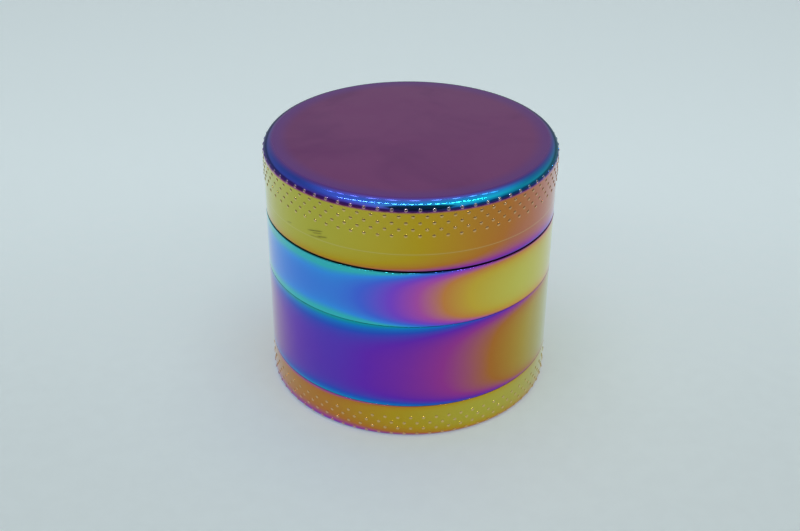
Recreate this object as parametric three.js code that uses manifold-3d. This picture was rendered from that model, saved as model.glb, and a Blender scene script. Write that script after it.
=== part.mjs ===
// A four-piece herb grinder: lid, grinding chamber, sifter chamber and base tray, with the
// magnets, glide ring, screen and retaining ring that they hold.
// Millimetres, +Z up, origin at the centre of the underside. Every piece shares one axis.
import * as THREE from "three";
import { mergeVertices } from "three/addons/utils/BufferGeometryUtils.js";
import Module from "manifold-3d";

const wasm = await Module();
wasm.setup();

// ---- Driving dimensions ----------------------------------------------------

// Overall size. The grip bands of lid and base stand proud by the height of their raised dots.
const HEIGHT = 44.7;
const GRIP_RADIUS = 25;
const DOT_HEIGHT = 0.1;
const BAND_RADIUS = GRIP_RADIUS - DOT_HEIGHT;

// Heights of the seams between the four castings, and the room left in each.
const BASE_SEAM = 6.35;
const SIFTER_SEAM = 22.23;
const SHOULDER = 32.25;
const LID_RIM = 32.6;
const SEAM_ROOM = 0.06;

// Screw threads: one right-handed start, the same on both joints.
const LEAD = 1.5;
const THREAD_REACH = 3.45;
const MALE_ROOT = 22.35;
const MALE_CREST = 22.75;
const FEMALE_ROOT = 23;
const FEMALE_CREST = 22.55;
const RIDGE_FOOT = 0.75;
const RIDGE_TOP = 0.35;
const RIDGE_TURNS = 5 / 3;
const RIDGE_START = 3;
const RUN_OUT = 1 / 12;
const RIDGE_SUNK = 0.2;
const RIDGE_END_SUNK = 0.1;
const SLEEVE_FOOT_ROOM = 0.3;

// Lid.
const LID_EDGE_ROUND = 1.85;
const LID_GRIP_FOOT = 38.3;
const SKIRT_INNER = 23.35;
const LID_CEILING = 42.4;

// Grinding chamber.
const COLLAR_OUTER = 22.9;
const COLLAR_INNER = 21.3;
const COLLAR_TOP = 38.5;
const GRIND_FLOOR = 27;
const GRIND_FLOOR_UNDERSIDE = 25;
const SLEEVE_INNER = 20.9;

// Sifter chamber.
const SIFTER_INNER = 21.5;
const SIFTER_BOWL_FOOT = 9.2;
const SCREEN_LEDGE_TOP = 7.2;
const SCREEN_LEDGE = 6.38;
const SCREEN_LEDGE_INNER = 19.9;

// Base tray.
const TRAY_EDGE_ROUND = 0.6;
const TRAY_GRIP_TOP = 4.6;
const TRAY_FLOOR = 1.3;
const TRAY_INNER = 21.6;
const TRAY_CORNER_ROUND = 0.8;

// Grinding teeth: diamond pegs on rings that pass between each other.
const TOOTH_SIDES = 4;
const TOOTH_RADIAL = 2.2;
const TOOTH_ACROSS = 3.2;
const TOOTH_TIP_SHARE = 0.7;
const TOOTH_SUNK = 0.3;
const LID_TOOTH_TIP = 28.2;
const CHAMBER_TOOTH_TIP = 38.2;
const LID_TOOTH_RINGS = [
  { radius: 7.2, count: 4 },
  { radius: 13.6, count: 6 },
  { radius: 19.5, count: 8 },
];
const CHAMBER_TOOTH_RINGS = [
  { radius: 10.4, count: 6 },
  { radius: 16.6, count: 8 },
];

// Fall-through holes in the grinding floor.
const HOLE_SIDES = 10;
const HOLE_RINGS = [
  { radius: 7.4, count: 6, hole: 1.5 },
  { radius: 13.5, count: 12, hole: 1.7 },
  { radius: 19.4, count: 16, hole: 1.4 },
];

// Magnets, set face to face in a boss on the lid and one on the grinding floor.
const BOSS_RADIUS = 5.2;
const MAGNET_RADIUS = 4;
const MAGNET_THICKNESS = 3;
const MAGNETS_MEET = 36.3;
const MAGNETS_APART = 0.3;
const MAGNET_SIDES = 24;

// Glide ring, screen and retaining ring.
const GLIDE_ROOM = 0.03;
const GLIDE_OUTER = 24.5;
const SCREEN_THICKNESS = 0.3;
const SCREEN_RADIUS = 20.8;
const RING_HEIGHT = 1.6;
const RING_INNER = 19.9;
const RING_OUTER = 20.84;
const STACK_ROOM = 0.04;

// Room round a piece that sits in a pocket or on a collar.
const FIT_ROOM = 0.06;

// How far a cutter reaches past the face that it opens.
const CUT_PAST = 1;

// Sides of every turned shape.
const SIDES = 48;

// ---- Shape helpers ---------------------------------------------------------

const at = (radius, height) => new THREE.Vector2(radius, height);

// Points along an arc of an outline, angles in degrees from the outward direction.
function arc(centreRadius, centreHeight, radius, from, to, steps) {
  return Array.from({ length: steps + 1 }, (_, i) => {
    const angle = THREE.MathUtils.degToRad(from + ((to - from) * i) / steps);
    return at(centreRadius + radius * Math.cos(angle), centreHeight + radius * Math.sin(angle));
  });
}

// A closed geometry as a solid that can be joined and cut.
function solid(geometry) {
  const bare = geometry.clone();
  bare.deleteAttribute("normal");
  bare.deleteAttribute("uv");
  const merged = mergeVertices(bare);
  return new wasm.Manifold(
    new wasm.Mesh({
      numProp: 3,
      vertProperties: merged.attributes.position.array,
      triVerts: new Uint32Array(merged.index.array),
    }),
  );
}

// A solid of revolution. The outline runs from the top of the axis round the outside and back.
function turned(outline, sides = SIDES) {
  return solid(new THREE.LatheGeometry([...outline].reverse(), sides).rotateX(Math.PI / 2));
}

// A ring with a rectangular section, from one height to another.
function washer(inner, outer, bottom, top) {
  return turned([at(inner, top), at(outer, top), at(outer, bottom), at(inner, bottom), at(inner, top)]);
}

// A round plug on the axis.
function disc(radius, bottom, top, sides = SIDES) {
  return turned([at(0, top), at(radius, top), at(radius, bottom), at(0, bottom)], sides);
}

// Copies of a geometry made round the axis, on a circle of the given radius. The first copy
// lies half a step from +X, so that a clear lane runs out along +X between the teeth.
function roundTheAxis(geometry, radius, count) {
  return Array.from({ length: count }, (_, i) => {
    const angle = (2 * Math.PI * (i + 0.5)) / count;
    return solid(geometry.clone().translate(radius, 0, 0).rotateZ(angle));
  });
}

// A diamond peg standing on the Z axis, wide at its root and narrower at its tip.
function tooth(root, tip) {
  const pointsUp = tip > root;
  const rootHeight = pointsUp ? root - TOOTH_SUNK : root + TOOTH_SUNK;
  const [bottomSize, topSize] = pointsUp ? [1, TOOTH_TIP_SHARE] : [TOOTH_TIP_SHARE, 1];
  return new THREE.CylinderGeometry(topSize, bottomSize, Math.abs(tip - rootHeight), TOOTH_SIDES)
    .rotateX(Math.PI / 2)
    .scale(TOOTH_RADIAL / 2, TOOTH_ACROSS / 2, 1)
    .translate(0, 0, (tip + rootHeight) / 2);
}

const teeth = (rings, root, tip) =>
  rings.flatMap(({ radius, count }) => roundTheAxis(tooth(root, tip), radius, count));

// One thread ridge, made straight and then wrapped round the axis, rising one lead each turn.
// It stands from the wall by depth, which is negative on an inside wall, and runs out into the
// wall at either end.
function threadRidge(wall, depth, startHeight, startTurn) {
  const sunk = -Math.sign(depth) * RIDGE_SUNK;
  const section = new THREE.Shape([
    at(sunk, -RIDGE_FOOT / 2),
    at(depth, -RIDGE_TOP / 2),
    at(depth, RIDGE_TOP / 2),
    at(sunk, RIDGE_FOOT / 2),
  ]);
  const steps = Math.round(RIDGE_TURNS * SIDES);
  const ridge = new THREE.ExtrudeGeometry(section, { depth: RIDGE_TURNS, steps, bevelEnabled: false });
  const position = ridge.attributes.position;
  for (let i = 0; i < position.count; i++) {
    const turn = RIDGE_TURNS - position.getZ(i);
    const fromEnd = Math.min(turn, RIDGE_TURNS - turn);
    const share = Math.min(1, fromEnd / RUN_OUT - RIDGE_END_SUNK);
    const offset = position.getX(i);
    const insideWall = offset * depth < 0;
    const radius = wall + offset * (insideWall ? 1 : share);
    const angle = 2 * Math.PI * (startTurn + turn);
    position.setXYZ(
      i,
      radius * Math.cos(angle),
      radius * Math.sin(angle),
      startHeight + LEAD * turn + position.getY(i),
    );
  }
  return solid(ridge);
}

// Thread heights are the same above the foot of each sleeve, so a joint is named by its seam.
const maleRidge = (seam) =>
  threadRidge(MALE_ROOT, MALE_CREST - MALE_ROOT, seam - RIDGE_START, 0);
const femaleRidge = (seam) =>
  threadRidge(FEMALE_ROOT, FEMALE_CREST - FEMALE_ROOT, seam - RIDGE_START, 0.5);

const joined = (first, others) => others.reduce((whole, piece) => whole.add(piece), first);
const cut = (first, others) => others.reduce((whole, piece) => whole.subtract(piece), first);

// ---- The castings ----------------------------------------------------------

// A cap with a magnet boss and three rings of teeth hanging from its ceiling.
function lid() {
  const bossFoot = MAGNETS_MEET + MAGNETS_APART / 2;
  const pocketRoof = bossFoot + MAGNET_THICKNESS + FIT_ROOM;
  const body = turned([
    at(0, HEIGHT),
    ...arc(GRIP_RADIUS - LID_EDGE_ROUND, HEIGHT - LID_EDGE_ROUND, LID_EDGE_ROUND, 90, 0, 5),
    at(GRIP_RADIUS, LID_GRIP_FOOT),
    at(BAND_RADIUS, LID_GRIP_FOOT),
    at(BAND_RADIUS, LID_RIM),
    at(SKIRT_INNER, LID_RIM),
    at(SKIRT_INNER, LID_CEILING),
    at(BOSS_RADIUS, LID_CEILING),
    at(BOSS_RADIUS, bossFoot),
    at(0, bossFoot),
  ]);
  const pocket = disc(MAGNET_RADIUS + FIT_ROOM, bossFoot - CUT_PAST, pocketRoof, MAGNET_SIDES);
  return joined(body, teeth(LID_TOOTH_RINGS, LID_CEILING, LID_TOOTH_TIP)).subtract(pocket);
}

// A cup with a holed floor, teeth, a collar that enters the lid and a threaded sleeve below.
function grindingChamber() {
  const bossTop = MAGNETS_MEET - MAGNETS_APART / 2;
  const pocketFloor = bossTop - MAGNET_THICKNESS - FIT_ROOM;
  const seam = SIFTER_SEAM + SEAM_ROOM / 2;
  const body = turned([
    at(0, bossTop),
    at(BOSS_RADIUS, bossTop),
    at(BOSS_RADIUS, GRIND_FLOOR),
    at(COLLAR_INNER, GRIND_FLOOR),
    at(COLLAR_INNER, COLLAR_TOP),
    at(COLLAR_OUTER, COLLAR_TOP),
    at(COLLAR_OUTER, SHOULDER),
    at(BAND_RADIUS, SHOULDER),
    at(BAND_RADIUS, seam),
    at(MALE_ROOT, seam),
    at(MALE_ROOT, SIFTER_SEAM - THREAD_REACH),
    at(SLEEVE_INNER, SIFTER_SEAM - THREAD_REACH),
    at(SLEEVE_INNER, GRIND_FLOOR_UNDERSIDE),
    at(0, GRIND_FLOOR_UNDERSIDE),
  ]);
  const pocket = disc(MAGNET_RADIUS + FIT_ROOM, pocketFloor, bossTop + CUT_PAST, MAGNET_SIDES);
  const drillFoot = GRIND_FLOOR_UNDERSIDE - CUT_PAST;
  const drillTop = GRIND_FLOOR + CUT_PAST;
  const holes = HOLE_RINGS.flatMap(({ radius, count, hole }) => {
    const drill = new THREE.CylinderGeometry(hole, hole, drillTop - drillFoot, HOLE_SIDES);
    const upright = drill.rotateX(Math.PI / 2).translate(0, 0, (drillFoot + drillTop) / 2);
    return roundTheAxis(upright, radius, count);
  });
  const whole = joined(body, [
    ...teeth(CHAMBER_TOOTH_RINGS, GRIND_FLOOR, CHAMBER_TOOTH_TIP),
    maleRidge(SIFTER_SEAM),
  ]);
  return cut(whole, [pocket, ...holes]);
}

// An open drum: female thread above, funnel to the screen ledge, threaded sleeve below.
function sifterChamber() {
  const top = SIFTER_SEAM - SEAM_ROOM / 2;
  const bottom = BASE_SEAM + SEAM_ROOM / 2;
  const threadFoot = SIFTER_SEAM - THREAD_REACH - SLEEVE_FOOT_ROOM;
  const body = turned([
    at(FEMALE_ROOT, top),
    at(BAND_RADIUS, top),
    at(BAND_RADIUS, bottom),
    at(MALE_ROOT, bottom),
    at(MALE_ROOT, BASE_SEAM - THREAD_REACH),
    at(SLEEVE_INNER, BASE_SEAM - THREAD_REACH),
    at(SLEEVE_INNER, SCREEN_LEDGE),
    at(SCREEN_LEDGE_INNER, SCREEN_LEDGE),
    at(SCREEN_LEDGE_INNER, SCREEN_LEDGE_TOP),
    at(SIFTER_INNER, SIFTER_BOWL_FOOT),
    at(SIFTER_INNER, threadFoot),
    at(FEMALE_ROOT, threadFoot),
    at(FEMALE_ROOT, top),
  ]);
  return joined(body, [maleRidge(BASE_SEAM), femaleRidge(SIFTER_SEAM)]);
}

// A shallow tray with a rounded outer foot and a female thread in its rim.
function baseTray() {
  const top = BASE_SEAM - SEAM_ROOM / 2;
  const threadFoot = BASE_SEAM - THREAD_REACH - SLEEVE_FOOT_ROOM;
  const corner = TRAY_INNER - TRAY_CORNER_ROUND;
  const body = turned([
    at(0, TRAY_FLOOR),
    ...arc(corner, TRAY_FLOOR + TRAY_CORNER_ROUND, TRAY_CORNER_ROUND, -90, 0, 2),
    at(TRAY_INNER, threadFoot),
    at(FEMALE_ROOT, threadFoot),
    at(FEMALE_ROOT, top),
    at(BAND_RADIUS, top),
    at(BAND_RADIUS, TRAY_GRIP_TOP),
    at(GRIP_RADIUS, TRAY_GRIP_TOP),
    ...arc(GRIP_RADIUS - TRAY_EDGE_ROUND, TRAY_EDGE_ROUND, TRAY_EDGE_ROUND, 0, -90, 3),
    at(0, 0),
  ]);
  return body.add(femaleRidge(BASE_SEAM));
}

// ---- The pieces that the castings hold -------------------------------------

const lidMagnet = () => {
  const face = MAGNETS_MEET + MAGNETS_APART / 2;
  return disc(MAGNET_RADIUS, face, face + MAGNET_THICKNESS, MAGNET_SIDES);
};

const chamberMagnet = () => {
  const face = MAGNETS_MEET - MAGNETS_APART / 2;
  return disc(MAGNET_RADIUS, face - MAGNET_THICKNESS, face, MAGNET_SIDES);
};

// The ring lies on the chamber's shoulder, round its collar, and the lid's rim runs on it.
const glideRing = () =>
  washer(COLLAR_OUTER + FIT_ROOM, GLIDE_OUTER, SHOULDER + GLIDE_ROOM, LID_RIM - GLIDE_ROOM);

const screenTop = SCREEN_LEDGE - STACK_ROOM;
const screenBottom = screenTop - SCREEN_THICKNESS;
const sifterScreen = () => disc(SCREEN_RADIUS, screenBottom, screenTop);

const screenRing = () => {
  const top = screenBottom - STACK_ROOM;
  return washer(RING_INNER, RING_OUTER, top - RING_HEIGHT, top);
};

// ---- Finishes and assembly -------------------------------------------------

const finish = (color, roughness, metalness = 1) => ({ color, roughness, metalness, flatShading: true });

const PIECES = [
  ["base_tray", baseTray, finish(0xa18928, 0.16)],
  ["screen_ring", screenRing, finish(0xb9bcc0, 0.25)],
  ["sifter_screen", sifterScreen, finish(0x9a9ca0, 0.4)],
  ["sifter_chamber", sifterChamber, finish(0x6e2d93, 0.14)],
  ["chamber_magnet", chamberMagnet, finish(0xc9cbce, 0.22)],
  ["grinding_chamber", grindingChamber, finish(0x2d86c4, 0.14)],
  ["glide_ring", glideRing, finish(0x141416, 0.5, 0)],
  ["lid", lid, finish(0xa48316, 0.16)],
  ["lid_magnet", lidMagnet, finish(0xc9cbce, 0.22)],
];

function mesh(name, shape, look) {
  const { vertProperties, triVerts } = shape.getMesh();
  const geometry = new THREE.BufferGeometry();
  geometry.setAttribute("position", new THREE.BufferAttribute(vertProperties, 3));
  geometry.setIndex(new THREE.BufferAttribute(triVerts, 1));
  const made = new THREE.Mesh(geometry, new THREE.MeshStandardMaterial(look));
  made.name = name;
  return made;
}

const grinder = new THREE.Group();
for (const [name, make, look] of PIECES) grinder.add(mesh(name, make(), look));

export default grinder;
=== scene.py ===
import math

import bmesh
import bpy
import numpy as np
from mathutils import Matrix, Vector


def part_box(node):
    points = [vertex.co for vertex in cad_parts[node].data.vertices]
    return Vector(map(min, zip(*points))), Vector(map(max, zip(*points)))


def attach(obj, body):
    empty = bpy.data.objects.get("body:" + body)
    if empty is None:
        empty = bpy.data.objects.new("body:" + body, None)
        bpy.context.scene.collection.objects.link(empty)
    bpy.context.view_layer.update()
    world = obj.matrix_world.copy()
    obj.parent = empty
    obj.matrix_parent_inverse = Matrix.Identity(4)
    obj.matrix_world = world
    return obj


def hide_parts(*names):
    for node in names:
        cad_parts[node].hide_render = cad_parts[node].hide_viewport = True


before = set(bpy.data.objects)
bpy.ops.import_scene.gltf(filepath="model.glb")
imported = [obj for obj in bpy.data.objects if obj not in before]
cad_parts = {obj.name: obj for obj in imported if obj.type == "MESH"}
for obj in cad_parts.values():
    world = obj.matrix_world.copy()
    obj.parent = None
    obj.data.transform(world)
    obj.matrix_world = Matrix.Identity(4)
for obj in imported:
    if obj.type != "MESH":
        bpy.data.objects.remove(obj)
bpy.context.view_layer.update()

# A four-piece herb grinder with a rainbow mirror coat. Every casting is turned again at a fine
# pitch round the CAD's own sizes, with its raised dots, threads, teeth and holes as real shape.
# Lengths in this file are millimetres until a mesh is made.

MM = 0.001


def extent(node):
    """Outer radius, lowest height and highest height of a CAD node."""
    low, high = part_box(node)
    return high.x / MM, low.z / MM, high.z / MM


# ---- Sizes -----------------------------------------------------------------

# Read from the frame.
GRIP_RADIUS, LID_TOOTH_TIP, LID_TOP = extent("lid")
BAND_RADIUS, SLEEVE_FOOT, COLLAR_TOP = extent("grinding_chamber")
_, SIFTER_FOOT, SIFTER_TOP = extent("sifter_chamber")
_, TRAY_FOOT, TRAY_TOP = extent("base_tray")
GLIDE_OUTER, GLIDE_FOOT, GLIDE_TOP = extent("glide_ring")
MAGNET_RADIUS, LID_MAGNET_FOOT, LID_MAGNET_TOP = extent("lid_magnet")
_, CHAMBER_MAGNET_FOOT, CHAMBER_MAGNET_TOP = extent("chamber_magnet")
SCREEN_RADIUS, SCREEN_FOOT, SCREEN_TOP = extent("sifter_screen")
RING_OUTER, RING_FOOT, RING_TOP = extent("screen_ring")
DOT_HEIGHT = GRIP_RADIUS - BAND_RADIUS

# Seams.
GLIDE_ROOM = 0.03
SHOULDER = GLIDE_FOOT - GLIDE_ROOM
LID_RIM = GLIDE_TOP + GLIDE_ROOM
SEAM_ROOM = 0.06
CHAMBER_SEAM = SIFTER_TOP + SEAM_ROOM
SIFTER_SEAM = TRAY_TOP + SEAM_ROOM

# Roundings of the seams, the rims and the mouths of the threads, and how far past a rounding a
# point holds the straight beside it in place.
SEAM_EDGE = 0.03
RIM_EDGE = 0.12
THREAD_MOUTH = 0.25
HOLD = 0.12

# Walls, the same as in the CAD.
LID_EDGE_ROUND = 1.85
SKIRT_INNER = 23.35
LID_CEILING = 42.4
BOSS_RADIUS = 5.2
POCKET_ROOM = 0.06
COLLAR_OUTER = 22.9
COLLAR_INNER = 21.3
GRIND_FLOOR = 27.0
GRIND_UNDERSIDE = 25.0
SLEEVE_INNER = 20.9
MALE_ROOT = 22.35
FEMALE_ROOT = 23.0
SIFTER_INNER = 21.5
BOWL_FOOT = 9.2
LEDGE_INNER = 19.9
LEDGE_TOP = 7.2
LEDGE_FOOT = 6.38
RING_INNER = 19.9
TRAY_EDGE_ROUND = 0.6
TRAY_FLOOR = 1.3
TRAY_INNER = 21.6
SLEEVE_FOOT_ROOM = 0.3

# Fine line turned round the lid above its rim.
LINE_HEIGHT = 35.6
LINE_HALF_WIDTH = 0.12
LINE_DEPTH = 0.012
LINE_EDGE = 0.05

# Raised dots: a staggered lattice, with rows up to the rounded edges. The collar is the share of
# a dot's radius that its halfway ring starts from, and the leans are the angles from its crown
# of the rings over its dome.
DOTS_ROUND = 72
DOT_ROW_PITCH = 1.11
DOT_RADIUS = 0.3
DOT_COLLAR = 1.2
DOT_SIDES = 16
DOT_LEANS = np.radians([90, 74, 58, 43, 28, 14])
LID_DOT_ROWS = 5
LID_TOP_DOT_ROW = 43.31
TRAY_DOT_ROWS = 4
TRAY_LOW_DOT_ROW = 0.56

# Threads.
LEAD = 1.5
RIDGE_TURNS = 5 / 3
RIDGE_START = 3.0
RIDGE_FOOT_HALF = 0.375
RIDGE_TOP_HALF = 0.175
MALE_DEPTH = 0.4
FEMALE_DEPTH = -0.45
RIDGE_SUNK = 0.2
RIDGE_END_SUNK = 0.1
RIDGE_SHOULDER = 0.85
RIDGE_CREST_ROUND = 0.25
RUN_OUT = 1 / 12

# Teeth and holes. A tooth's foot is given as (distance from its root, share of its section), its
# corners as 1 for an ellipse to 2 for a sharp diamond, and a hole's cutter runs past the floor.
TOOTH_HALF_RADIAL = 1.1
TOOTH_HALF_ACROSS = 1.6
TOOTH_TIP_SHARE = 0.7
TOOTH_TIP_ROUND = 0.35
TOOTH_TIP_SHRINK = 0.28
TOOTH_CORNERS = 1.7
TOOTH_FOOT = ((-0.3, 1.2), (0.05, 1.12), (0.2, 1.03), (0.45, 1.0))
CHAMBER_TOOTH_TIP = 38.2
LID_TOOTH_RINGS = ((7.2, 4), (13.6, 6), (19.5, 8))
CHAMBER_TOOTH_RINGS = ((10.4, 6), (16.6, 8))
HOLE_RINGS = ((7.4, 6, 1.5), (13.5, 12, 1.7), (19.4, 16, 1.4))
HOLE_EDGE = 0.18
CUT_PAST = 1

# Screen mesh: the width of its rim, and how far the wires run into it.
SCREEN_RIM = 1.0
WIRE_SUNK = 0.3

# Columns round every turned surface, four to each dot, and the turn of the first column, which
# puts a dot just right of the front.
COLUMNS = DOTS_ROUND * 4
FIRST_COLUMN = math.radians(-89.45)

# ---- Surfaces --------------------------------------------------------------
# A surface is a pair: an array of points and a list of faces. Surfaces that share an edge are
# welded when they become an object.


def outline(corners, steps=5, hold=HOLD):
    """Points through (radius, height, rounding) corners, each rounding an arc that is held in
    place by a point a little way along the straight on either side."""
    points = [np.array(corners[0][:2], float)]
    for before, corner, after in zip(corners, corners[1:], corners[2:]):
        here = np.array(corner[:2], float)
        rounding = corner[2]
        if not rounding:
            points.append(here)
            continue
        back = np.array(before[:2], float) - here
        ahead = np.array(after[:2], float) - here
        back_length, ahead_length = np.linalg.norm(back), np.linalg.norm(ahead)
        back, ahead = back / back_length, ahead / ahead_length
        half = math.acos(np.clip(back @ ahead, -1, 1)) / 2
        reach = rounding / math.tan(half)
        centre = here + (back + ahead) / np.linalg.norm(back + ahead) * rounding / math.sin(half)
        start, end = here + back * reach - centre, here + ahead * reach - centre
        sweep = math.pi - 2 * half
        if reach + hold < back_length / 2:
            points.append(here + back * (reach + hold))
        for i in range(steps + 1):
            share = i / steps
            mixed = start * math.sin((1 - share) * sweep) + end * math.sin(share * sweep)
            points.append(centre + mixed / math.sin(sweep))
        if reach + hold < ahead_length / 2:
            points.append(here + ahead * (reach + hold))
    points.append(np.array(corners[-1][:2], float))
    return points


def loop(corners, steps=5):
    """A closed outline: it starts and ends in the middle of its first straight."""
    (r0, z0, _), (r1, z1, _) = corners[0], corners[1]
    middle = ((r0 + r1) / 2, (z0 + z1) / 2, 0)
    return outline([middle, *corners[1:], corners[0], middle], steps)


def turned(points, columns=COLUMNS):
    """A surface of revolution of (radius, height) points. A point on the axis is one vertex."""
    angles = FIRST_COLUMN + 2 * math.pi * np.arange(columns) / columns
    vertices, rings = [], []
    for radius, height in points:
        rings.append(np.arange(columns) * (radius > 0) + len(vertices))
        for angle in angles if radius > 0 else angles[:1]:
            vertices.append((radius * math.cos(angle), radius * math.sin(angle), height))
    faces = []
    for low, high in zip(rings, rings[1:]):
        for i in range(columns):
            j = (i + 1) % columns
            face = [int(v) for v in dict.fromkeys((low[i], high[i], high[j], low[j]))]
            faces.append(face)
    return np.array(vertices), faces


def edge_profile(edge_height, rounding, up):
    """Maps a distance along a wall, measured as height, on to the wall and round its rounded
    edge. Returns radius, height and the outward direction there."""

    def place(along):
        past = np.maximum((along - edge_height) * up, 0)
        angle = past / rounding
        radius = BAND_RADIUS - rounding * (1 - np.cos(angle))
        height = np.where(past > 0, edge_height + up * rounding * np.sin(angle), along)
        return radius, height, np.cos(angle), up * np.sin(angle)

    return place


def dotted_band(place, low_row, rows, first_stagger):
    """Rows of raised dots. Each dot has a cell of its own: a ring of points on the cell's edge, a
    ring halfway to the dot, rings that rise over the dot as a dome, and its crown."""
    sides = DOT_SIDES
    quarter = sides // 4
    width = 2 * math.pi / DOTS_ROUND
    ticks = np.arange(sides)
    turn = 2 * math.pi * (ticks - quarter / 2) / sides
    step = (ticks % quarter) / quarter
    side = ticks // quarter
    half = np.full(sides, 0.5)
    edge_across = np.choose(side, [half, 0.5 - step, -half, step - 0.5]) * width
    edge_along = np.choose(side, [step - 0.5, half, 0.5 - step, -half]) * DOT_ROW_PITCH
    level = np.zeros(sides)
    across, along, rise = [edge_across], [edge_along], [level]
    circle_across = DOT_RADIUS * np.cos(turn) / BAND_RADIUS
    circle_along = DOT_RADIUS * np.sin(turn)
    across.append((edge_across + circle_across * DOT_COLLAR) / 2)
    along.append((edge_along + circle_along * DOT_COLLAR) / 2)
    rise.append(level)
    for lean in DOT_LEANS:
        across.append(circle_across * math.sin(lean))
        along.append(circle_along * math.sin(lean))
        rise.append(level + DOT_HEIGHT * math.cos(lean))
    rings = len(across)
    across = np.append(np.concatenate(across), 0)
    along = np.append(np.concatenate(along), 0)
    rise = np.append(np.concatenate(rise), DOT_HEIGHT)
    cell = []
    for ring in range(rings):
        for i in range(sides):
            j = (i + 1) % sides
            a, b = ring * sides + i, ring * sides + j
            inner = (b + sides, a + sides) if ring < rings - 1 else (rings * sides,)
            cell.append((a, b, *inner))
    vertices, faces = [], []
    for row in range(rows):
        stagger = ((row + first_stagger) % 2) / 2
        radius, height, out, rising = place(low_row + row * DOT_ROW_PITCH + along)
        for dot in range(DOTS_ROUND):
            angle = FIRST_COLUMN + width * (dot + stagger) + across
            start = len(vertices) * len(across)
            reach = radius + out * rise
            up = height + rising * rise
            vertices.append(np.stack([reach * np.cos(angle), reach * np.sin(angle), up], 1))
            faces += [[start + v for v in face] for face in cell]
    return np.concatenate(vertices), faces


def ridge(wall, depth, start_height, start_turn, steps_per_turn=96):
    """A closed thread ridge that stands from a wall by depth and runs out at either end."""
    sunk = -math.copysign(RIDGE_SUNK, depth)
    section = [
        (sunk, -RIDGE_FOOT_HALF),
        (depth * RIDGE_SHOULDER, -RIDGE_TOP_HALF * (1 + RIDGE_CREST_ROUND)),
        (depth, -RIDGE_TOP_HALF * (1 - RIDGE_CREST_ROUND)),
        (depth, RIDGE_TOP_HALF * (1 - RIDGE_CREST_ROUND)),
        (depth * RIDGE_SHOULDER, RIDGE_TOP_HALF * (1 + RIDGE_CREST_ROUND)),
        (sunk, RIDGE_FOOT_HALF),
    ]
    steps = round(RIDGE_TURNS * steps_per_turn)
    vertices = []
    for i in range(steps + 1):
        turn = RIDGE_TURNS * i / steps
        fade = min(1, min(turn, RIDGE_TURNS - turn) / RUN_OUT - RIDGE_END_SUNK)
        angle = 2 * math.pi * (start_turn + turn)
        for offset, height in section:
            radius = wall + offset * (fade if offset * depth > 0 else 1)
            rise = start_height + LEAD * turn + height
            vertices.append((radius * math.cos(angle), radius * math.sin(angle), rise))
    return np.array(vertices), tube_faces(steps + 1, len(section))


def tube_faces(rings, sides):
    """Faces of a closed tube of rings, with a flat face on each end."""
    faces = [list(range(sides)), list(range((rings - 1) * sides, rings * sides))[::-1]]
    for ring in range(rings - 1):
        for i in range(sides):
            a, b = ring * sides + i, ring * sides + (i + 1) % sides
            faces.append([a, a + sides, b + sides, b])
    return faces


def cornered(wave):
    """A sine or cosine drawn in from an ellipse's towards a diamond's."""
    return np.sign(wave) * np.abs(wave) ** TOOTH_CORNERS


def tooth(root, tip):
    """A diamond peg with soft corners, a flared foot sunk in its root and a rounded tip."""
    way = math.copysign(1, tip - root)
    straight = abs(tip - root) - TOOTH_TIP_ROUND
    levels = [*TOOTH_FOOT, (straight, TOOTH_TIP_SHARE)]
    for lean in np.radians([25, 50, 70, 90]):
        along = straight + TOOTH_TIP_ROUND * math.sin(lean)
        levels.append((along, TOOTH_TIP_SHARE - TOOTH_TIP_SHRINK * (1 - math.cos(lean))))
    sides = 32
    turns = 2 * np.pi * np.arange(sides) / sides
    radial = cornered(np.cos(turns))
    sideways = cornered(np.sin(turns))
    vertices = []
    for along, size in levels:
        x = TOOTH_HALF_RADIAL * size * radial
        y = TOOTH_HALF_ACROSS * size * sideways
        vertices.append(np.stack([x, y, np.full(sides, root + way * along)], 1))
    return np.concatenate(vertices), tube_faces(len(levels), sides)


def drill(radius, sides=32):
    """A cutter for one hole through the grinding floor that also breaks its two edges."""
    top, foot = GRIND_FLOOR, GRIND_UNDERSIDE
    mouth = radius + HOLE_EDGE
    hair = 0.001
    points = [
        (0, top + CUT_PAST),
        (mouth + CUT_PAST / 2, top + CUT_PAST),
        (mouth, top + hair),
        (radius, top - HOLE_EDGE),
        (radius, foot + HOLE_EDGE),
        (mouth, foot - hair),
        (mouth + CUT_PAST / 2, foot - CUT_PAST),
        (0, foot - CUT_PAST),
    ]
    return turned(points, sides)


def round_the_axis(surface, radius, count):
    """Copies of a surface on a circle. None lies along +X, where a clear lane runs out."""
    copies = []
    for i in range(count):
        angle = 2 * math.pi * (i + 0.5) / count
        cos, sin = math.cos(angle), math.sin(angle)
        spin = np.array([[cos, sin, 0], [-sin, cos, 0], [0, 0, 1]])
        copies.append(((surface[0] + [radius, 0, 0]) @ spin, surface[1]))
    return copies


# ---- Objects ---------------------------------------------------------------


def piece(name, surfaces):
    """One object from surfaces: welded, facing out, and smooth but for its real edges."""
    vertices, faces, start = [], [], 0
    for points, polygons in surfaces:
        vertices.append(points)
        faces += [[start + v for v in polygon] for polygon in polygons]
        start += len(points)
    vertices = np.concatenate(vertices)
    _, first, welded = np.unique(np.round(vertices, 4), axis=0, return_index=True, return_inverse=True)
    welded = welded.reshape(-1)
    faces = [list(dict.fromkeys(int(welded[v]) for v in face)) for face in faces]
    mesh = bpy.data.meshes.new(name)
    mesh.from_pydata(vertices[first] * MM, [], [face for face in faces if len(face) > 2])
    made = bpy.data.objects.new(name, mesh)
    bpy.context.scene.collection.objects.link(made)
    face_out(mesh)
    smooth(mesh)
    return made


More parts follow.
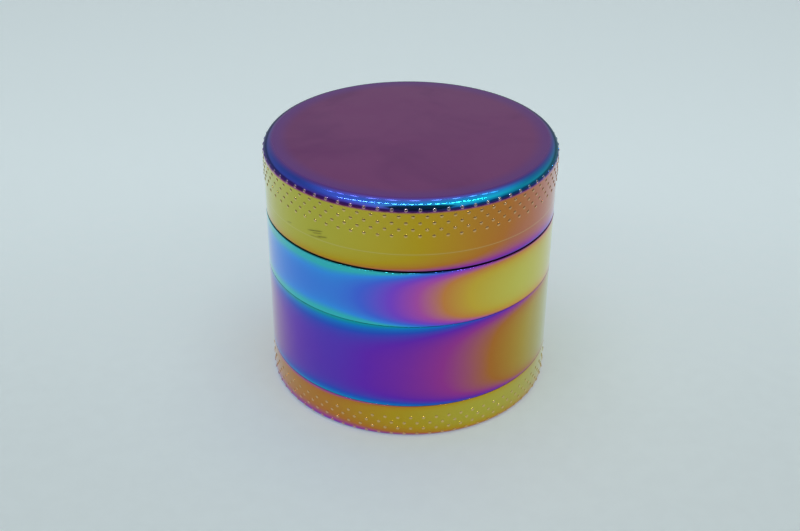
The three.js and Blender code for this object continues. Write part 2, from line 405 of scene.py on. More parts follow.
def face_out(mesh):
    """Makes the faces agree, pointing out of the solid."""
    work = bmesh.new()
    work.from_mesh(mesh)
    bmesh.ops.recalc_face_normals(work, faces=work.faces)
    if work.calc_volume(signed=True) < 0:
        bmesh.ops.reverse_faces(work, faces=work.faces)
    work.to_mesh(mesh)
    work.free()


def smooth(mesh, edge_angle=38):
    """Smooth shading, except across edges sharper than the angle."""
    mesh.shade_smooth()
    mesh.set_sharp_from_angle(angle=math.radians(edge_angle))


def combine(target, surfaces, operation):
    """Joins surfaces to an object, or cuts them out of it."""
    tool = piece(target.name + "_tool", surfaces)
    step = target.modifiers.new("boolean", "BOOLEAN")
    step.solver = "MANIFOLD"
    step.operation = operation
    step.object = tool
    graph = bpy.context.evaluated_depsgraph_get()
    result = bpy.data.meshes.new_from_object(target.evaluated_get(graph))
    target.modifiers.clear()
    old, target.data = target.data, result
    bpy.data.meshes.remove(old)
    bpy.data.objects.remove(tool)
    smooth(result)


def teeth(rings, root, tip):
    """The teeth of several (radius, count) rings."""
    return [copy for radius, count in rings for copy in round_the_axis(tooth(root, tip), radius, count)]


def make_lid():
    """The cap: dotted grip band up to the rounded edge, skirt, teeth and magnet boss."""
    edge = LID_TOP - LID_EDGE_ROUND
    place = edge_profile(edge, LID_EDGE_ROUND, 1)
    band_foot = LID_TOP_DOT_ROW - (LID_DOT_ROWS - 0.5) * DOT_ROW_PITCH
    band_top = LID_TOP_DOT_ROW + DOT_ROW_PITCH / 2
    last = edge + LID_EDGE_ROUND * math.pi / 2
    rounding = [place(along)[:2] for along in np.linspace(last, band_top, 14)]
    flat = BAND_RADIUS - LID_EDGE_ROUND
    top = [(0, LID_TOP), (flat * 0.5, LID_TOP), (flat - 0.2, LID_TOP), *rounding]
    pocket = MAGNET_RADIUS + POCKET_ROOM
    below = outline([
        (BAND_RADIUS, band_foot, 0),
        (BAND_RADIUS, LINE_HEIGHT + LINE_HALF_WIDTH, LINE_EDGE),
        (BAND_RADIUS - LINE_DEPTH, LINE_HEIGHT, 0),
        (BAND_RADIUS, LINE_HEIGHT - LINE_HALF_WIDTH, LINE_EDGE),
        (BAND_RADIUS, LID_RIM, RIM_EDGE),
        (SKIRT_INNER, LID_RIM, 0.4),
        (SKIRT_INNER, LID_CEILING, 0.6),
        (BOSS_RADIUS, LID_CEILING, 0.6),
        (BOSS_RADIUS, LID_MAGNET_FOOT, 0.35),
        (pocket, LID_MAGNET_FOOT, 0.08),
        (pocket, LID_MAGNET_TOP + POCKET_ROOM, 0),
        (0, LID_MAGNET_TOP + POCKET_ROOM, 0),
    ])
    low_row = LID_TOP_DOT_ROW - (LID_DOT_ROWS - 1) * DOT_ROW_PITCH
    band = dotted_band(place, low_row, LID_DOT_ROWS, 1)
    made = piece("lid_casting", [turned(top), band, turned(below)])
    combine(made, teeth(LID_TOOTH_RINGS, LID_CEILING, LID_TOOTH_TIP), "UNION")
    return made


def make_grinding_chamber():
    """The toothed cup, with its collar above and its threaded sleeve below."""
    pocket = MAGNET_RADIUS + POCKET_ROOM
    points = outline([
        (0, CHAMBER_MAGNET_FOOT - POCKET_ROOM, 0),
        (pocket, CHAMBER_MAGNET_FOOT - POCKET_ROOM, 0),
        (pocket, CHAMBER_MAGNET_TOP, 0.08),
        (BOSS_RADIUS, CHAMBER_MAGNET_TOP, 0.35),
        (BOSS_RADIUS, GRIND_FLOOR, 0.5),
        (COLLAR_INNER, GRIND_FLOOR, 0.4),
        (COLLAR_INNER, COLLAR_TOP, 0.35),
        (COLLAR_OUTER, COLLAR_TOP, 0.5),
        (COLLAR_OUTER, SHOULDER, 0.1),
        (BAND_RADIUS, SHOULDER, RIM_EDGE),
        (BAND_RADIUS, CHAMBER_SEAM, SEAM_EDGE),
        (MALE_ROOT, CHAMBER_SEAM, 0.1),
        (MALE_ROOT, SLEEVE_FOOT, 0.3),
        (SLEEVE_INNER, SLEEVE_FOOT, 0.2),
        (SLEEVE_INNER, GRIND_UNDERSIDE, 0.5),
        (0, GRIND_UNDERSIDE, 0),
    ])
    made = piece("grinding_chamber_casting", [turned(points)])
    screw = ridge(MALE_ROOT, MALE_DEPTH, SIFTER_TOP + SEAM_ROOM / 2 - RIDGE_START, 0)
    standing = [*teeth(CHAMBER_TOOTH_RINGS, GRIND_FLOOR, CHAMBER_TOOTH_TIP), screw]
    combine(made, standing, "UNION")
    holes = []
    for radius, count, size in HOLE_RINGS:
        holes += round_the_axis(drill(size), radius, count)
    combine(made, holes, "DIFFERENCE")
    return made


def make_sifter_chamber():
    """The plain drum between the screen and the grinding chamber, threaded at both ends."""
    thread_foot = SLEEVE_FOOT - SLEEVE_FOOT_ROOM
    points = loop([
        (FEMALE_ROOT, SIFTER_TOP, THREAD_MOUTH),
        (BAND_RADIUS, SIFTER_TOP, SEAM_EDGE),
        (BAND_RADIUS, SIFTER_SEAM, SEAM_EDGE),
        (MALE_ROOT, SIFTER_SEAM, 0.1),
        (MALE_ROOT, SIFTER_FOOT, 0.3),
        (SLEEVE_INNER, SIFTER_FOOT, 0.2),
        (SLEEVE_INNER, LEDGE_FOOT, 0.08),
        (LEDGE_INNER, LEDGE_FOOT, 0.1),
        (LEDGE_INNER, LEDGE_TOP, 0.25),
        (SIFTER_INNER, BOWL_FOOT, 1.2),
        (SIFTER_INNER, thread_foot, 0.25),
        (FEMALE_ROOT, thread_foot, 0.1),
    ])
    made = piece("sifter_chamber_casting", [turned(points)])
    lower = ridge(MALE_ROOT, MALE_DEPTH, TRAY_TOP + SEAM_ROOM / 2 - RIDGE_START, 0)
    upper = ridge(FEMALE_ROOT, FEMALE_DEPTH, SIFTER_TOP + SEAM_ROOM / 2 - RIDGE_START, 0.5)
    combine(made, [lower, upper], "UNION")
    return made


def make_base_tray():
    """The dished tray: dotted grip band down to the rounded foot, female thread in its rim."""
    place = edge_profile(TRAY_EDGE_ROUND, TRAY_EDGE_ROUND, -1)
    band_top = TRAY_LOW_DOT_ROW + (TRAY_DOT_ROWS - 0.5) * DOT_ROW_PITCH
    band_foot = TRAY_LOW_DOT_ROW - DOT_ROW_PITCH / 2
    last = TRAY_EDGE_ROUND * (1 - math.pi / 2)
    flat = BAND_RADIUS - TRAY_EDGE_ROUND
    thread_foot = SIFTER_FOOT - SLEEVE_FOOT_ROOM
    above = outline([
        (0, TRAY_FLOOR, 0),
        (TRAY_INNER, TRAY_FLOOR, 0.9),
        (TRAY_INNER, thread_foot, 0.15),
        (FEMALE_ROOT, thread_foot, 0.1),
        (FEMALE_ROOT, TRAY_TOP, THREAD_MOUTH),
        (BAND_RADIUS, TRAY_TOP, SEAM_EDGE),
        (BAND_RADIUS, band_top, 0),
    ])
    rounding = [place(along)[:2] for along in np.linspace(band_foot, last, 7)]
    under = [*rounding, (flat - 0.2, TRAY_FOOT), (flat * 0.5, TRAY_FOOT), (0, TRAY_FOOT)]
    band = dotted_band(place, TRAY_LOW_DOT_ROW, TRAY_DOT_ROWS, 1)
    made = piece("base_tray_casting", [turned(above), band, turned(under)])
    thread = ridge(FEMALE_ROOT, FEMALE_DEPTH, TRAY_TOP + SEAM_ROOM / 2 - RIDGE_START, 0.5)
    combine(made, [thread], "UNION")
    return made


def make_magnet(name, foot, top):
    """A disc magnet with broken edges."""
    points = outline([(0, top, 0), (MAGNET_RADIUS, top, 0.25), (MAGNET_RADIUS, foot, 0.25), (0, foot, 0)])
    return piece(name, [turned(points, 96)])


def make_ring(name, inner, outer, foot, top, rounding):
    """A ring of rectangular section with rounded corners."""
    corners = [(inner, top), (outer, top), (outer, foot), (inner, foot)]
    return piece(name, [turned(loop([(*corner, rounding) for corner in corners]), 192)])


def make_screen(pitch=1.0, wire=0.13, steps=4, sides=4):
    """Woven wires, each passing over and under the next, inside a pressed rim."""
    rim_inner = SCREEN_RADIUS - SCREEN_RIM
    middle = (SCREEN_FOOT + SCREEN_TOP) / 2
    rim = loop([
        (rim_inner, SCREEN_TOP, 0.05),
        (SCREEN_RADIUS, SCREEN_TOP, 0.05),
        (SCREEN_RADIUS, SCREEN_FOOT, 0.05),
        (rim_inner, SCREEN_FOOT, 0.05),
    ])
    surfaces = [turned(rim, 192)]
    lift = (SCREEN_TOP - SCREEN_FOOT) / 2 - wire / 2
    count = int(rim_inner // pitch)
    turns = 2 * np.pi * (np.arange(sides) + 0.5) / sides
    for line in range(-count, count + 1):
        across = line * pitch
        half = math.sqrt((rim_inner + WIRE_SUNK) ** 2 - across**2)
        rings = 2 * math.ceil(half / pitch * steps / 2) + 1
        along = np.linspace(-half, half, rings)
        for over in (1, -1):
            height = middle + over * (-1) ** line * lift * np.cos(np.pi * along / pitch)
            points = []
            for a, h in zip(along, height):
                for t in turns:
                    side, up = across + wire / 2 * math.cos(t), h + wire / 2 * math.sin(t)
                    points.append((a, side, up) if over > 0 else (side, a, up))
            surfaces.append((np.array(points), tube_faces(rings, sides)))
    return piece("sifter_mesh", surfaces)


# ---- Materials -------------------------------------------------------------


class Graph:
    """A material's node tree, with short calls for the nodes that the finishes share."""

    def __init__(self, name):
        self.material = bpy.data.materials.new(name)
        self.material.use_nodes = True
        self.tree = self.material.node_tree
        self.shader = self.tree.nodes["Principled BSDF"]
        self.where = self.node("ShaderNodeTexCoord").outputs["Object"]
        parts = self.node("ShaderNodeSeparateXYZ")
        self.feed(parts, Vector=self.where)
        self.x, self.y, self.z = parts.outputs
        squares = self.add(self.math("POWER", self.x, 2), self.math("POWER", self.y, 2))
        self.radius = self.math("SQRT", squares)

    def node(self, kind, **settings):
        """A new node with its settings."""
        made = self.tree.nodes.new(kind)
        for key, value in settings.items():
            setattr(made, key, value)
        return made

    def feed(self, node, **inputs):
        """Links or sets a node's inputs by name."""
        for key, value in inputs.items():
            self.put(node.inputs[key.replace("_", " ")], value)
        return node

    def put(self, socket, value):
        """Links a socket to another, or sets its value."""
        if isinstance(value, bpy.types.NodeSocket):
            self.tree.links.new(value, socket)
        else:
            socket.default_value = value

    def math(self, operation, *values):
        """One arithmetic step."""
        made = self.node("ShaderNodeMath", operation=operation)
        for socket, value in zip(made.inputs, values):
            self.put(socket, value)
        return made.outputs[0]

    def add(self, *values):
        """The sum of several values."""
        total = values[0]
        for value in values[1:]:
            total = self.math("ADD", total, value)
        return total

    def blend_range(self, value, low, high, start, end, ease="SMOOTHSTEP"):
        """Goes from start to end as value goes from low to high, and stays there outside them."""
        made = self.node("ShaderNodeMapRange", interpolation_type=ease)
        names = ("Value", "From Min", "From Max", "To Min", "To Max")
        for name, given in zip(names, (value, low, high, start, end)):
            self.put(made.inputs[name], given)
        return made.outputs["Result"]

    def near(self, value, place, strength, reach):
        """A peak of the given strength at a place, falling away over reach on both sides."""
        away = self.math("ABSOLUTE", self.math("SUBTRACT", value, place))
        falling = self.math("EXPONENT", self.math("DIVIDE", away, -reach))
        return self.math("MULTIPLY", falling, strength)

    def noise(self, scale, detail=2.0, stretch=(1, 1, 1), distortion=0.0):
        """Noise from 0 to 1, scale in grains per metre."""
        spread = self.feed(self.node("ShaderNodeMapping"), Vector=self.where, Scale=stretch)
        made = self.node("ShaderNodeTexNoise")
        self.feed(made, Vector=spread.outputs[0], Scale=scale, Detail=detail, Distortion=distortion)
        return made.outputs[0]

    def ramp(self, value, stops):
        """Colour along a value from 0 to 1, from (position, colour) stops."""
        made = self.node("ShaderNodeValToRGB")
        elements = made.color_ramp.elements
        while len(elements) < len(stops):
            elements.new(0.5)
        for element, (position, color) in zip(elements, stops):
            element.position = position
            element.color = (*color, 1)
        self.put(made.inputs[0], value)
        return made.outputs[0]

    def mix(self, share, first, second, how="MIX"):
        """Two colours mixed, or put together in another way."""
        made = self.node("ShaderNodeMix", data_type="RGBA", blend_type=how)
        self.put(made.inputs[0], share)
        self.put(made.inputs[6], first)
        self.put(made.inputs[7], second)
        return made.outputs[2]

    def bump(self, height, distance, under=None):
        """Relief from a height, distance in metres, over other relief if given."""
        made = self.feed(self.node("ShaderNodeBump"), Height=height, Distance=distance)
        if under:
            self.put(made.inputs["Normal"], under)
        return made.outputs[0]

    def finish(self, color, roughness, normal, metallic=1.0, **fixed):
        """Sets the shader, with fixed values on its own sockets, and returns the material."""
        self.feed(self.shader, Base_Color=color, Roughness=roughness, Normal=normal, Metallic=metallic)
        self.feed(self.shader, **fixed)
        return self.material


def srgb(red, green, blue):
    """A display colour, 0 to 255, as linear light."""

    def linear(value):
        value /= 255
        return value / 12.92 if value <= 0.04045 else ((value + 0.055) / 1.055) ** 2.4

    return linear(red), linear(green), linear(blue)


# Colours of the coat from its thinnest film to its thickest.
YELLOW = srgb(185, 180, 60)
GOLD = srgb(190, 155, 5)
BRONZE = srgb(190, 115, 35)
MAGENTA = srgb(165, 55, 155)
VIOLET = srgb(110, 40, 190)
BLUE = srgb(40, 85, 205)
SKY = srgb(0, 130, 215)
TEAL = srgb(0, 168, 175)
FILM = (
    (0.00, YELLOW),
    (0.20, GOLD),
    (0.36, BRONZE),
    (0.51, MAGENTA),
    (0.65, VIOLET),
    (0.77, BLUE),
    (0.88, SKY),
    (1.00, TEAL),
)
# Pale colour of the painted highlight on the dots.
DOT_HIGHLIGHT_COLOR = (*srgb(238, 200, 145), 1)
SCRATCH_COLOR = (*srgb(60, 52, 20), 1)
# Pale colour of the painted highlight along the lid's turned line.
LINE_HIGHLIGHT_COLOR = (*srgb(222, 208, 150), 1)

# The lid's rounded edge from its foot to the flat top, on the left and on the right. The bright cyan
# across the right is partly a painted highlight.
LEFT_EDGE_FILM = (
    (0.00, srgb(190, 110, 120)),
    (0.12, srgb(160, 50, 170)),
    (0.30, srgb(120, 60, 215)),
    (0.55, srgb(72, 98, 235)),
    (0.80, srgb(60, 92, 215)),
    (0.93, srgb(105, 86, 205)),
    (1.00, srgb(150, 80, 185)),
)
RIGHT_EDGE_FILM_AND_HIGHLIGHT = (
    (0.00, srgb(190, 100, 130)),
    (0.12, srgb(110, 60, 190)),
    (0.30, srgb(0, 130, 225)),
    (0.55, srgb(0, 205, 240)),
    (0.80, srgb(20, 150, 225)),
    (0.93, srgb(90, 95, 205)),
    (1.00, srgb(150, 80, 180)),
)

# The coat's gloss: how rough it is at its brightest and its dullest, and how much more the
# lid's flat top is. The lid is the only piece that reaches that height.
COAT_ROUGHNESS = (0.07, 0.15)
SATIN_TOP = 0.22
SATIN_DEPTH = 0.04

# How far the film's thickness wanders, and the depth of the surface's relief in metres.
FILM_WANDER = 0.06
ORANGE_PEEL = 0.0000012
TURNING_MARKS = 0.0000006


def dot_highlight(graph, color, edge_height, rounding, up):
    """A painted highlight: a pale colour on whatever stands proud of the wall and of its rounded edge."""
    past = graph.math("MULTIPLY", graph.math("SUBTRACT", graph.z, edge_height * MM), up)
    past = graph.math("MAXIMUM", past, 0)
    across = graph.math("SUBTRACT", (rounding * MM) ** 2, graph.math("POWER", past, 2))
    across = graph.math("SQRT", graph.math("MAXIMUM", across, 0))
    wall = graph.math("ADD", across, (BAND_RADIUS - rounding) * MM)
    proud = graph.math("SUBTRACT", graph.radius, wall)
    # The dots' painted highlight: up to 0.6 of the way to a pale colour as they stand proud.
    worn = graph.blend_range(proud, 0.1 * DOT_HEIGHT * MM, 0.5 * DOT_HEIGHT * MM, 0, 0.6)
    return graph.mix(worn, color, DOT_HIGHLIGHT_COLOR)


def coat(name, swing, edges, brightness, haze, behind, ease="SMOOTHSTEP", over=None, grip=None):
    """The rainbow coat. The film's thickness swings from one value on the left to another on the
    right, changes towards the edges and behind, and wanders a little everywhere. The swing is
    (centre in degrees, spread, left, right), and each edge is (height, strength, reach). The
    function over paints what the piece has besides, and grip says where its dots get painted highlights."""
    graph = Graph(name)
    centre, spread, left, right = swing
    across = graph.add(
        graph.math("MULTIPLY", graph.x, math.cos(math.radians(centre)) / (BAND_RADIUS * MM)),
        graph.math("MULTIPLY", graph.y, math.sin(math.radians(centre)) / (BAND_RADIUS * MM)),
    )
    film = graph.blend_range(across, -spread, spread, left, right, ease)
    film = graph.add(film, graph.blend_range(graph.y, 0, BAND_RADIUS * MM, 0, behind))
    for height, strength, reach in edges:
        film = graph.add(film, graph.near(graph.z, height * MM, strength, reach * MM))
    wander = graph.math("SUBTRACT", graph.noise(70, 3), 0.5)
    film = graph.add(film, graph.math("MULTIPLY", wander, FILM_WANDER))
    color = graph.ramp(film, FILM)
    color = graph.mix(1.0, color, (brightness, brightness, brightness, 1), "MULTIPLY")
    color = graph.mix(1.0, color, (haze, haze, haze, 1), "ADD")
    if over:
        color = over(graph, color)
    # Painted highlight on the dots.
    if grip:
        color = dot_highlight(graph, color, *grip)
    smudge = graph.blend_range(graph.noise(120, 4, distortion=0.6), 0.35, 0.75, *COAT_ROUGHNESS)
    satin = graph.blend_range(graph.z, (LID_TOP - SATIN_DEPTH) * MM, LID_TOP * MM, 0, SATIN_TOP)
    smudge = graph.add(smudge, satin)
    peel = graph.bump(graph.noise(900, 2), ORANGE_PEEL)
    turning = graph.noise(260, 3, stretch=(0.15, 0.15, 60))
    relief = graph.bump(turning, TURNING_MARKS, peel)
    return graph.finish(color, smudge, relief, Coat_Weight=0.6, Coat_IOR=1.33, Coat_Roughness=0.08)


# Scratches on the lid: degrees round from the front, height, slope, half length, darkness.
SCRATCHES = (
    (-37.3, 36.95, 0.22, 1.9, 0.95),
    (-36.3, 36.65, 0.22, 1.2, 0.65),
    (-34.0, 36.3, 0.17, 1.2, 0.8),
    (-37.0, 35.95, 0.1, 1.6, 0.45),
    (-51.5, 36.1, 0.2, 0.8, 0.5),
)
SCRATCH_WIDTH = 0.08


def scratched(graph, color):
    """Fine dark scratches that fade out towards their ends."""
    turn = graph.math("ARCTAN2", graph.x, graph.math("MULTIPLY", graph.y, -1))
    height = graph.math("DIVIDE", graph.z, MM)
    for azimuth, middle, slope, reach, darkness in SCRATCHES:
        along = graph.math("SUBTRACT", turn, math.radians(azimuth))
        along = graph.math("MULTIPLY", along, BAND_RADIUS)
        off = graph.math("SUBTRACT", height, middle)
        off = graph.math("SUBTRACT", off, graph.math("MULTIPLY", along, slope))
        line = graph.near(off, 0, darkness, SCRATCH_WIDTH)
        ends = graph.blend_range(graph.math("ABSOLUTE", along), 0.4 * reach, reach, 1, 0)
        color = graph.mix(graph.math("MULTIPLY", line, ends), color, SCRATCH_COLOR)
    return color


def lid_details(graph, color):
    """Paints what only the lid has: a painted highlight along its line, its scratches, its rounded edge
    and its flat top.
    """
    # A painted highlight along the turned line.
    line_highlight = graph.near(graph.z, LINE_HEIGHT * MM, 0.45, LINE_HALF_WIDTH / 2 * MM)
    color = graph.mix(line_highlight, color, LINE_HIGHLIGHT_COLOR)
    color = scratched(graph, color)
    over_edge = graph.math("SUBTRACT", graph.z, (LID_TOP - LID_EDGE_ROUND) * MM)
    over_edge = graph.math("DIVIDE", over_edge, LID_EDGE_ROUND * MM)
    color = edge_colored(graph, color, over_edge)
    return top_colored(graph, color, over_edge)


def edge_colored(graph, color, over_edge):
    """The rounded edge, from its film on the left to its film on the right, where the bright cyan is
    partly a painted highlight.
    """
    left = graph.ramp(over_edge, LEFT_EDGE_FILM)
    # The right ramp's bright cyan is partly a painted highlight.
    right = graph.ramp(over_edge, RIGHT_EDGE_FILM_AND_HIGHLIGHT)
    to_right = graph.blend_range(graph.x, -0.5 * BAND_RADIUS * MM, 0.45 * BAND_RADIUS * MM, 0, 1)
    edge = graph.mix(to_right, left, right)
    return graph.mix(graph.blend_range(over_edge, -0.12, 0.08, 0, 1), color, edge)


def top_colored(graph, color, over_edge):
    """The flat top, dull purple with soft darker patches."""
    flat = BAND_RADIUS - LID_EDGE_ROUND
    face = graph.blend_range(graph.radius, (flat - 3) * MM, flat * MM, 1, 0)
    face = graph.math("MULTIPLY", face, graph.blend_range(over_edge, 0.9, 0.99, 0, 1))
    # Soft patches where the purple turns darker.
    blotch = graph.blend_range(graph.noise(45, 4, distortion=1.2), 0.45, 0.7, 0, 1)
    purple = graph.mix(blotch, (*srgb(174, 82, 160), 1), (*srgb(158, 66, 150), 1))
    return graph.mix(face, color, purple)


def lid_coat():
    """Gold side, bluish edge and purple top."""
    return coat(
        "lid_coat",
        swing=(2, 0.95, 0.0, 0.40),
        edges=((LID_RIM, 0.32, 0.85),),
        brightness=1.2,
        haze=0.01,
        behind=0.25,
        over=lid_details,
        grip=(LID_TOP - LID_EDGE_ROUND, LID_EDGE_ROUND, 1),
    )


def chamber_coat():
    """Blue on the left and yellow on the right, with thicker film at both edges."""
    return coat(
        "chamber_coat",
        swing=(7, 0.68, 0.83, 0.03),
        edges=((SHOULDER, 0.45, 1.1), (CHAMBER_SEAM, 0.38, 0.9)),
        brightness=1.4,
        haze=0.045,
        behind=0.3,
    )


def sifter_coat():
    """Deep violet that turns through plum to gold on the right."""
    return coat(
        "sifter_coat",
        swing=(57, 1.0, 0.67, -0.41),
        edges=((SIFTER_TOP, 0.37, 1.55), (SIFTER_SEAM, 0.33, 0.9)),
        brightness=1.08,
        haze=0.0,
        behind=0.9,
        ease="LINEAR",
    )


def tray_coat():
    """Bronze on the left and gold on the right, magenta round the foot."""
    return coat(
        "base_coat",
        swing=(-4, 0.65, 0.33, 0.04),
        edges=((TRAY_TOP, 0.25, 0.4), (TRAY_FOOT, 0.5, 0.8)),
        brightness=1.22,
        haze=0.01,
        behind=0.2,
        grip=(TRAY_EDGE_ROUND, TRAY_EDGE_ROUND, -1),
    )


def steel(name, tint, stretch):
    """Satin steel with a fine grain along its drawn or turned direction."""
    graph = Graph(name)
    grain = graph.noise(700, 4, stretch=stretch)
    tone = graph.blend_range(grain, 0.3, 0.7, 0.85, 1.0)
    color = graph.mix(1.0, (*tint, 1), tone, "MULTIPLY")
    roughness = graph.blend_range(grain, 0.3, 0.7, 0.22, 0.38)
    return graph.finish(color, roughness, graph.bump(grain, 0.000003))


def nickel():
    """Bright plating with soft handling marks and a faintly warm tone."""
    graph = Graph("magnet_plating")
    stain = graph.noise(320, 5, distortion=0.8)
    color = graph.ramp(stain, ((0.3, (0.60, 0.59, 0.56)), (0.7, (0.72, 0.71, 0.69))))
    roughness = graph.blend_range(stain, 0.35, 0.7, 0.12, 0.3)
    return graph.finish(color, roughness, graph.bump(graph.noise(1500, 2), 0.000002))


def nylon():
    """Black moulded polymer, worn to a slight polish where the lid runs on it."""
    graph = Graph("black_nylon")
    grain = graph.noise(1800, 3)
    color = graph.ramp(grain, ((0.3, (0.006, 0.006, 0.007)), (0.7, (0.014, 0.014, 0.015))))
    polish = graph.blend_range(graph.noise(90, 2), 0.4, 0.65, 0.35, 0.6)
    return graph.finish(color, polish, graph.bump(grain, 0.000006), metallic=0.0)


# ---- Assembly --------------------------------------------------------------


def place_piece(made, body, node, material):
    """Dresses a piece, sets it on its CAD body and lets it stand for its CAD node."""
    made.data.materials.clear()
    made.data.materials.append(material)
    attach(made, body)
    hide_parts(node)


def build_object():
    """Every piece on its body, in place of its CAD node."""
    plating = nickel()
    place_piece(make_base_tray(), "base", "base_tray", tray_coat())
    ring = make_ring("screen_retainer", RING_INNER, RING_OUTER, RING_FOOT, RING_TOP, 0.15)
    place_piece(ring, "sifter_rider", "screen_ring",
                steel("stainless_steel", (0.62, 0.62, 0.63), (0.2, 0.2, 8)))
    place_piece(make_screen(), "sifter", "sifter_screen",
                steel("steel_mesh", (0.55, 0.55, 0.56), (1, 1, 1)))
    place_piece(make_sifter_chamber(), "sifter", "sifter_chamber", sifter_coat())
    place_piece(make_magnet("chamber_magnet_disc", CHAMBER_MAGNET_FOOT, CHAMBER_MAGNET_TOP),
                "chamber_rider", "chamber_magnet", plating)
    place_piece(make_grinding_chamber(), "chamber", "grinding_chamber", chamber_coat())
    glide_inner = COLLAR_OUTER + POCKET_ROOM
    glide = make_ring("glide_ring_moulding", glide_inner, GLIDE_OUTER, GLIDE_FOOT, GLIDE_TOP, 0.08)
    place_piece(glide, "lid_rider", "glide_ring", nylon())
    place_piece(make_lid(), "lid", "lid", lid_coat())
    place_piece(make_magnet("lid_magnet_disc", LID_MAGNET_FOOT, LID_MAGNET_TOP),
                "lid", "lid_magnet", plating)


# ---- Studio ----------------------------------------------------------------

# Lengths in this section are metres.

# Floor colours: painted shade in front and painted light behind.
FLOOR_SHADED_FRONT = (0.575, 0.645, 0.652)
FLOOR_LIT_BEHIND = (0.745, 0.845, 0.865)
BACKDROP = (0.575, 0.66, 0.69, 1)
CLOTH_COLOR = (0.90, 0.965, 1.0, 1)
LAMP_COLOR = (0.92, 0.97, 1.0, 1)
CLOTH_STRENGTH = 0.68
FILL_STRENGTH = 0.1


def floor():
    """A wide pale sheet, lit through from below as well as from above, with painted light: darker in
    front and paler behind.
    """
    mesh = bpy.data.meshes.new("studio_floor")
    half = 4.0
    corners = [(-half, -half, 0), (half, -half, 0), (half, half, 0), (-half, half, 0)]
    mesh.from_pydata(corners, [], [(0, 1, 2, 3)])
    made = bpy.data.objects.new("studio_floor", mesh)
    bpy.context.scene.collection.objects.link(made)
    graph = Graph("studio_paper")
    # Painted light and shade: the floor darkens towards the front and pales behind.
    depth = graph.blend_range(graph.y, -0.06, 0.09, 0, 1)
    color = graph.ramp(depth, ((0, FLOOR_SHADED_FRONT), (1, FLOOR_LIT_BEHIND)))
    fibre = graph.blend_range(graph.noise(300, 3), 0.3, 0.7, 0.985, 1.0)
    color = graph.mix(1.0, color, fibre, "MULTIPLY")
    color = graph.mix(1.0, color, lit_patch(graph), "MULTIPLY")
    graph.finish(color, 0.6, graph.bump(graph.noise(900, 2), 0.00002), metallic=0.0)
    graph.feed(graph.shader, Emission_Color=color, Emission_Strength=0.37)
    mesh.materials.append(graph.material)


def lit_patch(graph):
    """A dimmer floor in reflections only, further out, as in a small tent."""
    fall = graph.blend_range(graph.radius, 0.10, 0.17, 0.0, 0.8)
    reflected = graph.node("ShaderNodeLightPath").outputs["Is Glossy Ray"]
    return graph.math("SUBTRACT", 1.0, graph.math("MULTIPLY", fall, reflected))


def led_strip(name, centre, count, spacing, radius, strength):
    """A row of small round lamps along X, facing the floor."""
    sides = 12
    vertices, faces = [], []
    for lamp in range(count):
        x = centre[0] + (lamp - (count - 1) / 2) * spacing
        faces.append(list(range(len(vertices), len(vertices) + sides)))
        for i in range(sides):
            angle = -2 * math.pi * i / sides
            y = centre[1] + radius * math.sin(angle)
            vertices.append((x + radius * math.cos(angle), y, centre[2]))
    mesh = bpy.data.meshes.new(name)
    mesh.from_pydata(vertices, [], faces)
    made = bpy.data.objects.new(name, mesh)
    bpy.context.scene.collection.objects.link(made)
    material = bpy.data.materials.new(name)
    material.use_nodes = True
    tree = material.node_tree
    tree.nodes.clear()
    lamp = tree.nodes.new("ShaderNodeEmission")
    lamp.inputs["Color"].default_value = LAMP_COLOR
    lamp.inputs["Strength"].default_value = strength
    output = tree.nodes.new("ShaderNodeOutputMaterial")
    tree.links.new(lamp.outputs[0], output.inputs[0])
    mesh.materials.append(material)
    made.visible_camera = False


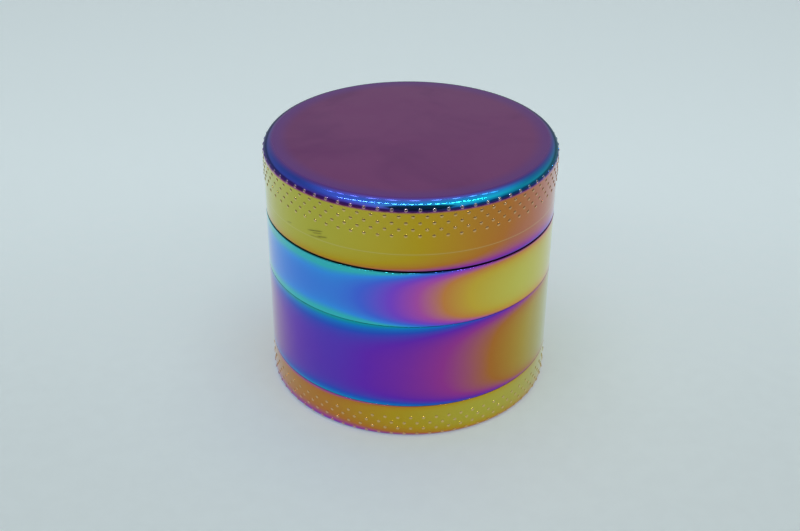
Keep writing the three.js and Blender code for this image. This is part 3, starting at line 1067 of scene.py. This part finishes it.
def tent():
    """The light tent as a world. Reflections see pale cloth, brightest high in front, with a dim
    opening and a dark skirting. Other light from it is an even fill, and the camera sees a plain
    backdrop."""
    world = bpy.data.worlds.new("light_tent")
    bpy.context.scene.world = world
    world.use_nodes = True
    tree = world.node_tree
    tree.nodes.clear()

    def node(kind, **settings):
        made = tree.nodes.new(kind)
        for key, value in settings.items():
            setattr(made, key, value)
        return made

    def step(value, low, high, start, end):
        made = node("ShaderNodeMapRange", interpolation_type="SMOOTHSTEP")
        tree.links.new(value, made.inputs["Value"])
        for name, given in zip(("From Min", "From Max", "To Min", "To Max"), (low, high, start, end)):
            made.inputs[name].default_value = given
        return made.outputs["Result"]

    def combine_values(operation, first, second):
        made = node("ShaderNodeMath", operation=operation)
        for socket, value in zip(made.inputs, (first, second)):
            if isinstance(value, bpy.types.NodeSocket):
                tree.links.new(value, socket)
            else:
                socket.default_value = value
        return made.outputs[0]

    way = node("ShaderNodeTexCoord").outputs["Generated"]

    def towards(azimuth, height):
        """How nearly a direction points at a place in the tent: 1 right at it, 0 square to it."""
        made = node("ShaderNodeVectorMath", operation="DOT_PRODUCT")
        tree.links.new(way, made.inputs[0])
        turn, rise = math.radians(azimuth), math.radians(height)
        made.inputs[1].default_value = (
            math.sin(turn) * math.cos(rise), -math.cos(turn) * math.cos(rise), math.sin(rise)
        )
        return made.outputs["Value"]

    parts = node("ShaderNodeSeparateXYZ")
    tree.links.new(way, parts.inputs[0])
    outside, inside = math.cos(math.radians(27)), math.cos(math.radians(21))
    hole = step(towards(7, 23), outside, inside, 1.0, 0.08)
    bank = step(towards(8, 63), 0.35, 0.75, 0.50, 1.0)
    skirting = step(parts.outputs["Z"], 0.02, 0.25, 0.35, 1.0)
    level = combine_values("MULTIPLY", combine_values("MULTIPLY", hole, bank), skirting)
    cloth = node("ShaderNodeBackground")
    cloth.inputs["Color"].default_value = CLOTH_COLOR
    tree.links.new(combine_values("MULTIPLY", level, CLOTH_STRENGTH), cloth.inputs["Strength"])
    plain = node("ShaderNodeBackground")
    plain.inputs["Color"].default_value = BACKDROP
    fill = node("ShaderNodeBackground")
    fill.inputs["Color"].default_value = CLOTH_COLOR
    fill.inputs["Strength"].default_value = FILL_STRENGTH
    seen = node("ShaderNodeLightPath")
    glossy = node("ShaderNodeMixShader")
    tree.links.new(seen.outputs["Is Glossy Ray"], glossy.inputs[0])
    tree.links.new(fill.outputs[0], glossy.inputs[1])
    tree.links.new(cloth.outputs[0], glossy.inputs[2])
    choose = node("ShaderNodeMixShader")
    tree.links.new(seen.outputs["Is Camera Ray"], choose.inputs[0])
    tree.links.new(glossy.outputs[0], choose.inputs[1])
    tree.links.new(plain.outputs[0], choose.inputs[2])
    output = node("ShaderNodeOutputWorld")
    tree.links.new(choose.outputs[0], output.inputs[0])


def ceiling_light():
    """A broad soft light overhead that fills the floor round the object."""
    data = bpy.data.lights.new("ceiling_light", "AREA")
    data.shape = "SQUARE"
    data.size = 0.5
    data.energy = 1.2
    data.color = (0.93, 0.98, 1.0)
    made = bpy.data.objects.new("ceiling_light", data)
    made.location = (0, 0.02, 0.6)
    made.visible_glossy = False
    made.visible_camera = False
    bpy.context.scene.collection.objects.link(made)


def camera():
    """The view of the photograph: from in front and above, a little left of the axis."""
    data = bpy.data.cameras.new("camera")
    data.sensor_width = 36
    data.lens = 51.58
    made = bpy.data.objects.new("camera", data)
    made.location = (-0.0017, -0.17689, 0.12465)
    made.rotation_mode = "XYZ"
    pitch, roll = math.radians(59.11), 0.0055
    made.rotation_euler = (pitch, 0, 0)
    made.rotation_euler.rotate_axis("Z", roll)
    bpy.context.scene.collection.objects.link(made)
    bpy.context.scene.camera = made


def studio():
    """The floor, the tent, the lamps and the camera."""
    floor()
    tent()
    ceiling_light()
    led_strip("lamp_row_front", (0.004, -0.17, 0.28), 25, 0.0245, 0.005, 45)
    led_strip("lamp_row_overhead", (0.01, 0.02, 0.40), 11, 0.05, 0.012, 6)
    camera()
    bpy.context.scene.view_settings.view_transform = "Standard"


build_object()
studio()
